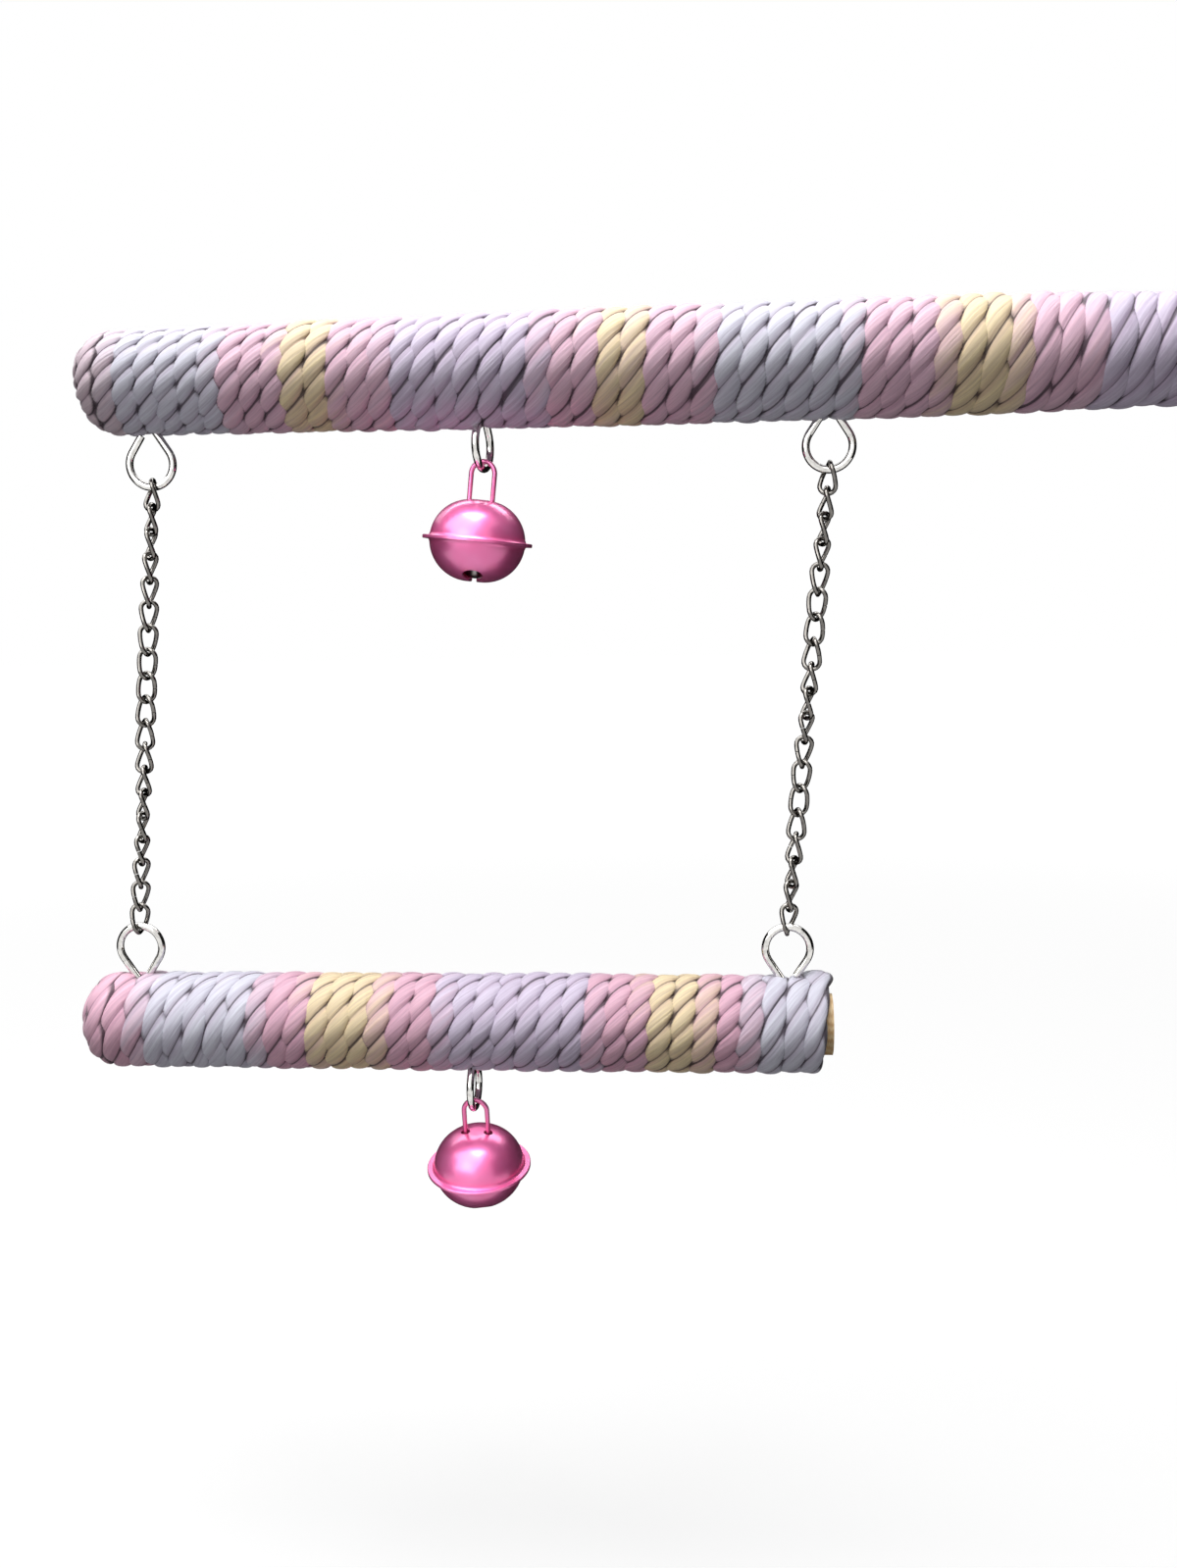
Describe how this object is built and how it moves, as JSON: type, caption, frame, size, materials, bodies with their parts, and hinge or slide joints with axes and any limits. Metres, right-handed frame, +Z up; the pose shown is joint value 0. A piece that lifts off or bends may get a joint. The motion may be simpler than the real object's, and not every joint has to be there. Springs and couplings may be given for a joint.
{
  "type": "bird swing",
  "caption": "Bird swing: a long rope-wrapped rod that clamps to cage wires, with a rope-wrapped perch hung below it on curb chains and a jingle bell under each rod.",
  "frame": {"origin": "centre of the inner clamp washer's outer face, on the upper rod's axis, where the cage wires lie", "axes": "+X along the upper rod's axis, out through the cage wires towards the wing nut; +Z up; -Y is the front, as pictured"},
  "size_m": [0.3477, 0.0324, 0.2366],
  "materials": {
    "wood": "bare pale hardwood, sawn ends",
    "paper_rope": "twisted paper rope, space-dyed in soft pink, yellow, lavender and blue-grey stretches, matte",
    "nickel_steel": "bright nickel-plated steel wire",
    "chain_steel": "nickel-plated steel curb links",
    "zinc_steel": "bright zinc-plated steel",
    "pink_enamel": "glossy pink enamel on thin steel",
    "pellet_steel": "plain steel ball"
  },
  "bodies": {
    "upper_rod": {"upper_dowel": "wood", "upper_rope_wrap": "paper_rope", "hanger_bolt": "zinc_steel", "inner_washer": "zinc_steel", "left_upper_eye_screw": "nickel_steel", "right_upper_eye_screw": "nickel_steel", "upper_bell_eye_screw": "nickel_steel"},
    "left_top_link": {"left_chain_top_link": "chain_steel"},
    "left_chain": {"left_chain_links": "chain_steel"},
    "left_bottom_link": {"left_chain_bottom_link": "chain_steel"},
    "right_top_link": {"right_chain_top_link": "chain_steel"},
    "right_chain": {"right_chain_links": "chain_steel"},
    "right_bottom_link": {"right_chain_bottom_link": "chain_steel"},
    "perch": {"perch_dowel": "wood", "perch_rope_wrap": "paper_rope", "left_perch_eye_screw": "nickel_steel", "right_perch_eye_screw": "nickel_steel", "lower_bell_eye_screw": "nickel_steel"},
    "upper_bell": {"upper_bell_loop": "pink_enamel", "upper_bell_top_shell": "pink_enamel", "upper_bell_bottom_shell": "pink_enamel"},
    "upper_bell_pellet": {"upper_bell_pellet": "pellet_steel"},
    "lower_bell": {"lower_bell_loop": "pink_enamel", "lower_bell_top_shell": "pink_enamel", "lower_bell_bottom_shell": "pink_enamel"},
    "lower_bell_pellet": {"lower_bell_pellet": "pellet_steel"},
    "outer_washer": {"outer_washer": "zinc_steel"},
    "wing_nut": {"wing_nut": "zinc_steel"}
  },
  "joints": [
    {"name": "swing_front_back", "type": "hinge", "parent": "upper_rod", "child": "left_top_link", "pos_m": [-0.2894, 0, -0.0266], "axis": [1, 0, 0], "range_deg": [-60, 60]},
    {"name": "right_swing_front_back", "type": "hinge", "parent": "upper_rod", "child": "right_top_link", "pos_m": [-0.1151, 0, -0.0266], "axis": [1, 0, 0], "range_deg": [-60, 60]},
    {"name": "swing_sideways", "type": "hinge", "parent": "left_top_link", "child": "left_chain", "pos_m": [-0.28986, 0, -0.03176], "axis": [0, 1, 0], "range_deg": [-25, 15]},
    {"name": "right_swing_sideways", "type": "hinge", "parent": "right_top_link", "child": "right_chain", "pos_m": [-0.11556, 0, -0.03176], "axis": [0, 1, 0], "range_deg": [-25, 15]},
    {"name": "left_perch_levelling", "type": "hinge", "parent": "left_chain", "child": "left_bottom_link", "pos_m": [-0.29935, 0, -0.1381], "axis": [0, 1, 0], "range_deg": [-15, 25]},
    {"name": "right_perch_levelling", "type": "hinge", "parent": "right_chain", "child": "right_bottom_link", "pos_m": [-0.12505, 0, -0.1381], "axis": [0, 1, 0], "range_deg": [-15, 25]},
    {"name": "perch_rock", "type": "hinge", "parent": "left_bottom_link", "child": "perch", "pos_m": [-0.29981, 0, -0.14326], "axis": [1, 0, 0], "range_deg": [-25, 25]},
    {"name": "upper_bell_swing", "type": "hinge", "parent": "upper_rod", "child": "upper_bell", "pos_m": [-0.20225, 0, -0.0242], "axis": [0.1736, 0.9848, 0], "range_deg": [-55, 55]},
    {"name": "upper_pellet_roll", "type": "hinge", "parent": "upper_bell", "child": "upper_bell_pellet", "pos_m": [-0.20431, 0, -0.04228], "axis": [0, 1, 0], "range_deg": [-60, 60]},
    {"name": "lower_bell_swing", "type": "hinge", "parent": "perch", "child": "lower_bell", "pos_m": [-0.20926, 0, -0.19296], "axis": [0.0349, 0.9994, 0], "range_deg": [-55, 55]},
    {"name": "lower_pellet_roll", "type": "hinge", "parent": "lower_bell", "child": "lower_bell_pellet", "pos_m": [-0.20926, 0.00347, -0.21082], "axis": [0, 1, 0], "range_deg": [-60, 60]},
    {"name": "outer_washer_slide", "type": "slide", "parent": "upper_rod", "child": "outer_washer", "axis": [1, 0, 0], "range_m": [-0.003, 0.004]},
    {"name": "wing_nut_spin", "type": "hinge", "parent": "outer_washer", "child": "wing_nut", "pos_m": [0.0066, 0, 0], "axis": [1, 0, 0], "range_deg": [-1080, 1440]}
  ],
  "couplings": [
    {"joint": "right_swing_front_back", "follows": "swing_front_back", "ratio": 1},
    {"joint": "right_swing_sideways", "follows": "swing_sideways", "ratio": 1},
    {"joint": "left_perch_levelling", "follows": "swing_sideways", "ratio": -1},
    {"joint": "right_perch_levelling", "follows": "swing_sideways", "ratio": -1},
    {"joint": "wing_nut_spin", "follows": "outer_washer_slide", "rad_per_m": 6283}
  ]
}
